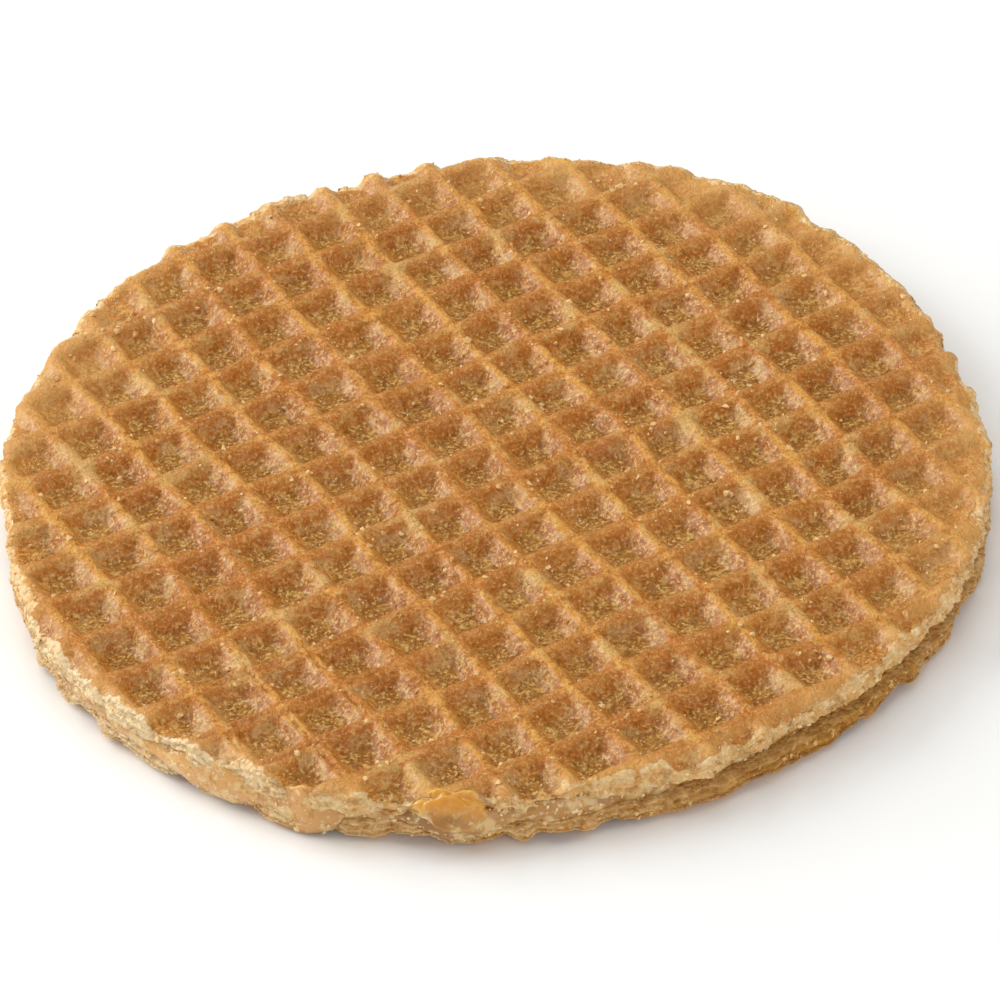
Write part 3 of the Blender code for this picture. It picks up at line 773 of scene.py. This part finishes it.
def bakedCrust(name):
    # Waffle batter pressed and baked between hot irons: buttery golden ridges that shine softly,
    # darker pits flecked with sugar, and pale porous crumb where the edge is torn. The colour also
    # holds painted light: a sheen on one slope of the ridges, and shade on the other, in the creases
    # and partly in the pits.
    material, tree, shader, place = newMaterial(name, {
        "IOR": 1.5, "Subsurface Weight": 0.15, "Subsurface Scale": 0.7 * mm,
        "Subsurface Radius": (1.0, 0.5, 0.15), "Specular IOR Level": 0.38, "Coat Roughness": 0.3})
    values = {key: addNode(tree, "ShaderNodeAttribute", {"attribute_name": key}).outputs["Fac"]
              for key in ("pit", "wall", "room", "side", "crease", "toast", "bare", "seam", "seep",
                          "across", "paintedSheenSlope", "paintedShadeSlope", "paleRimZones")}
    colour, mottle, flecks = batterColourAndPaintedLight(tree, place, values)
    crumb, grain = tornCrumb(tree, place, values)
    torn = tornShare(tree, place, values)
    colour = blendColours(tree, torn, colour, crumb)

    # butter and melted sugar leave a patchy shine
    rough = addNode(tree, rangeNode, {}, [flecks, 0.35, 0.65, 0.6, 0.36])
    rough = addNode(tree, mixNode, {}, [torn, rough, 0.75])
    shine = addNode(tree, rangeNode, {}, [mottle, 0.38, 0.62, 0.06, 0.55])
    shine = addNode(tree, mixNode, {}, [torn, shine, 0.0])
    grain = addNode(tree, mathNode, {"operation": "MULTIPLY_ADD"}, [grain, -0.8, 1.4])
    relief = addNode(tree, mathNode, {"operation": "MULTIPLY_ADD"}, [mottle, 1.3, flecks])
    relief = addNode(tree, mixNode, {}, [torn, relief, grain])
    fine = addNode(tree, "ShaderNodeBump", {}, {"Strength": 0.95, "Distance": 0.47 * mm,
                                                "Height": relief})
    linkUp(tree, shader, {"Base Color": colour, "Roughness": rough, "Normal": fine,
                          "Coat Weight": shine})
    return material


def setCaramel(name):
    # Boiled sugar and butter syrup, set soft: glossy and lit through from within, milky where it
    # was torn, paler where crumb sticks to it, and clear honey on the tongue.
    material, tree, shader, place = newMaterial(name, {
        "IOR": 1.49, "Roughness": 0.16, "Subsurface Weight": 0.55, "Subsurface Scale": 2.0 * mm,
        "Subsurface Radius": (1.0, 0.62, 0.22), "Coat Weight": 0.3, "Coat Roughness": 0.08})
    coat, lip = (addNode(tree, "ShaderNodeAttribute", {"attribute_name": key}).outputs["Fac"]
                 for key in ("coat", "lip"))
    colour = blendColours(tree, patches(tree, place, 6.0, 0.40, 0.62), "#B8823C", "#A06C2A")
    colour = blendColours(tree, coat, colour, "#D9A25A")
    milky = patches(tree, place, 1.8, 0.50, 0.66, 3.0, 0.7)
    colour = blendColours(tree, milky, colour, "#E6C688")
    colour = blendColours(tree, patches(tree, place, 0.6, 0.56, 0.66, 2.0, 0.5), colour, "#F0DCAE")
    colour = blendColours(tree, patches(tree, place, 0.9, 0.42, 0.32, 2.0, 0.5), colour, "#A8741C")
    honey = addNode(tree, mathNode, {"operation": "MULTIPLY"}, [lip, 0.85])
    colour = blendColours(tree, honey, colour, "#D8962E")
    swirl = addNode(tree, noiseNode, {}, {"Vector": place, "Scale": perMetre(1.1), "Detail": 4.0})
    skin = addNode(tree, "ShaderNodeBump", {}, {"Strength": 0.5, "Distance": 0.4 * mm,
                                                "Height": swirl})
    linkUp(tree, shader, {"Base Color": colour, "Normal": skin})
    return material


def looseBits(name, pale, golden, millimetres, roughness):
    # broken batter or sugar: small grains of two tones
    material, tree, shader, place = newMaterial(name, {"IOR": 1.45, "Roughness": roughness,
                                                       "Subsurface Weight": 0.1,
                                                       "Subsurface Scale": 0.5 * mm})
    colour = blendColours(tree, patches(tree, place, millimetres, 0.44, 0.60), pale, golden)
    linkUp(tree, shader, {"Base Color": colour})
    return material


print("materials")
crust = bakedCrust("waffle_crust_baked")
caramel = setCaramel("caramel_syrup_set")
crumbPale = looseBits("wafer_crumb_broken", "#F2D6A2", "#DDA860", 1.6, 0.8)
crumbGold = looseBits("crust_crumb_toasted", "#E6C085", "#CF9550", 1.2, 0.7)
sugar = looseBits("sugar_crystals_baked_in", "#F0DCB6", "#D9AE70", 0.8, 0.35)

print("wafers")
top = makeWafer("waffle_top", topWafer, topBumps, crust, rimBlend=topRimBlend, rimDepth=topRimDepth,
                creaseAt=(-20 * mm, -38 * mm, 0))
bottom = makeWafer("waffle_bottom", bottomWafer, bottomBumps, crust, faceDown=True)

print("syrup")
filling = makeSyrup("syrup_layer", syrup, caramel)

print("crumbs")
bits = [
    scatterOn("crumbs_on_top", top, crustCrumbs, crumbGold, (-1.0, 0.05), 0.25, 7.0),
    scatterOn("sugar_on_top", top, sugarGrains, sugar, (-1.0, 0.05), 0.7, 2.5),
    scatterOn("crumbs_top_side", top, sideCrumbs, crumbPale, (0.12, 0.999), 0.5, 2.0),
    scatterOn("crumbs_on_syrup", filling, syrupCrumbs, crumbPale, (-1.0, 0.05), 0.2, 2.2, mostRoom=0.004),
    scatterOn("crumbs_bottom_side", bottom, sideCrumbs, crumbGold, (0.05, 0.999), 0.5, 2.0),
]

for piece, node, slot in ((top, "top_wafer", "baked_wafer"), (bottom, "bottom_wafer", "baked_wafer"),
                          (filling, "syrup_filling", "caramel_syrup")):
    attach(piece, "root")
    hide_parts(node)
for piece in bits:
    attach(piece, "root")


studio = {"floorSize": 4.0, "keyPower": 5.0, "topPower": 2.4, "frontPower": 2.5, "world": 0.48}


def paperFloor(name, colour):
    # matt white paper: hardly any gloss, and no texture that shows
    material, tree, shader, place = newMaterial(name, {"Roughness": 0.9, "Specular IOR Level": 0.1})
    speck = blendColours(tree, patches(tree, place, 30.0, 0.4, 0.6, 1.0, 0.3), colour, "#FAFAF9")
    linkUp(tree, shader, {"Base Color": speck})
    return material


def areaLight(name, direction, distance, size, power):
    # a white soft box that faces the middle
    light = bpy.data.lights.new(name, "AREA")
    light.size = size
    light.energy = power
    lamp = bpy.data.objects.new(name, light)
    bpy.context.scene.collection.objects.link(lamp)
    toward = Vector(direction).normalized()
    lamp.location = toward * distance
    lamp.rotation_euler = toward.to_track_quat("Z", "Y").to_euler()


print("studio")
half = studio["floorSize"] / 2
floorMesh = bpy.data.meshes.new("studio_floor")
floorMesh.from_pydata([(-half, -half, 0), (half, -half, 0), (half, half, 0), (-half, half, 0)], [],
                      [(0, 1, 2, 3)])
floorMesh.materials.append(paperFloor("paper_white_matt", "#F6F6F4"))
floor = bpy.data.objects.new("studio_floor", floorMesh)
bpy.context.scene.collection.objects.link(floor)
floor.location.z = -0.0001

areaLight("key_left", (-0.9, 0.3, 0.6), 0.8, 0.6, studio["keyPower"])
areaLight("top_soft", (-0.1, 0.1, 1.0), 0.9, 0.7, studio["topPower"])
areaLight("front_low", (0.55, -0.85, 0.34), 1.0, 0.8, studio["frontPower"])
world = bpy.data.worlds.new("studio_world")
bpy.context.scene.world = world
world.use_nodes = True
world.node_tree.nodes["Background"].inputs["Color"].default_value = linearColour("#FFFFFF")
world.node_tree.nodes["Background"].inputs["Strength"].default_value = studio["world"]

view = {"elevation": 38.64, "roll": -1.85, "distance": 540.6 * mm, "right": -0.43 * mm,
        "up": 0.15 * mm, "lens": 195.2, "lift": 0.72 * mm}
back = Vector((0, -math.cos(math.radians(view["elevation"])), math.sin(math.radians(view["elevation"]))))
level = Vector((1, 0, 0))
upright = back.cross(level)
roll = math.radians(view["roll"])
right = math.cos(roll) * level + math.sin(roll) * upright
upward = math.cos(roll) * upright - math.sin(roll) * level
cameraData = bpy.data.cameras.new("camera")
cameraData.sensor_width = 36
cameraData.lens = view["lens"]
cameraData.clip_start = 0.01
camera = bpy.data.objects.new("camera", cameraData)
bpy.context.scene.collection.objects.link(camera)
place = middle + back * view["distance"] - right * view["right"] - upward * view["up"]
place.z += view["lift"]
camera.matrix_world = Matrix.Translation(place) @ Matrix((right, upward, back)).transposed().to_4x4()
bpy.context.scene.camera = camera
bpy.context.scene.view_settings.view_transform = "Standard"
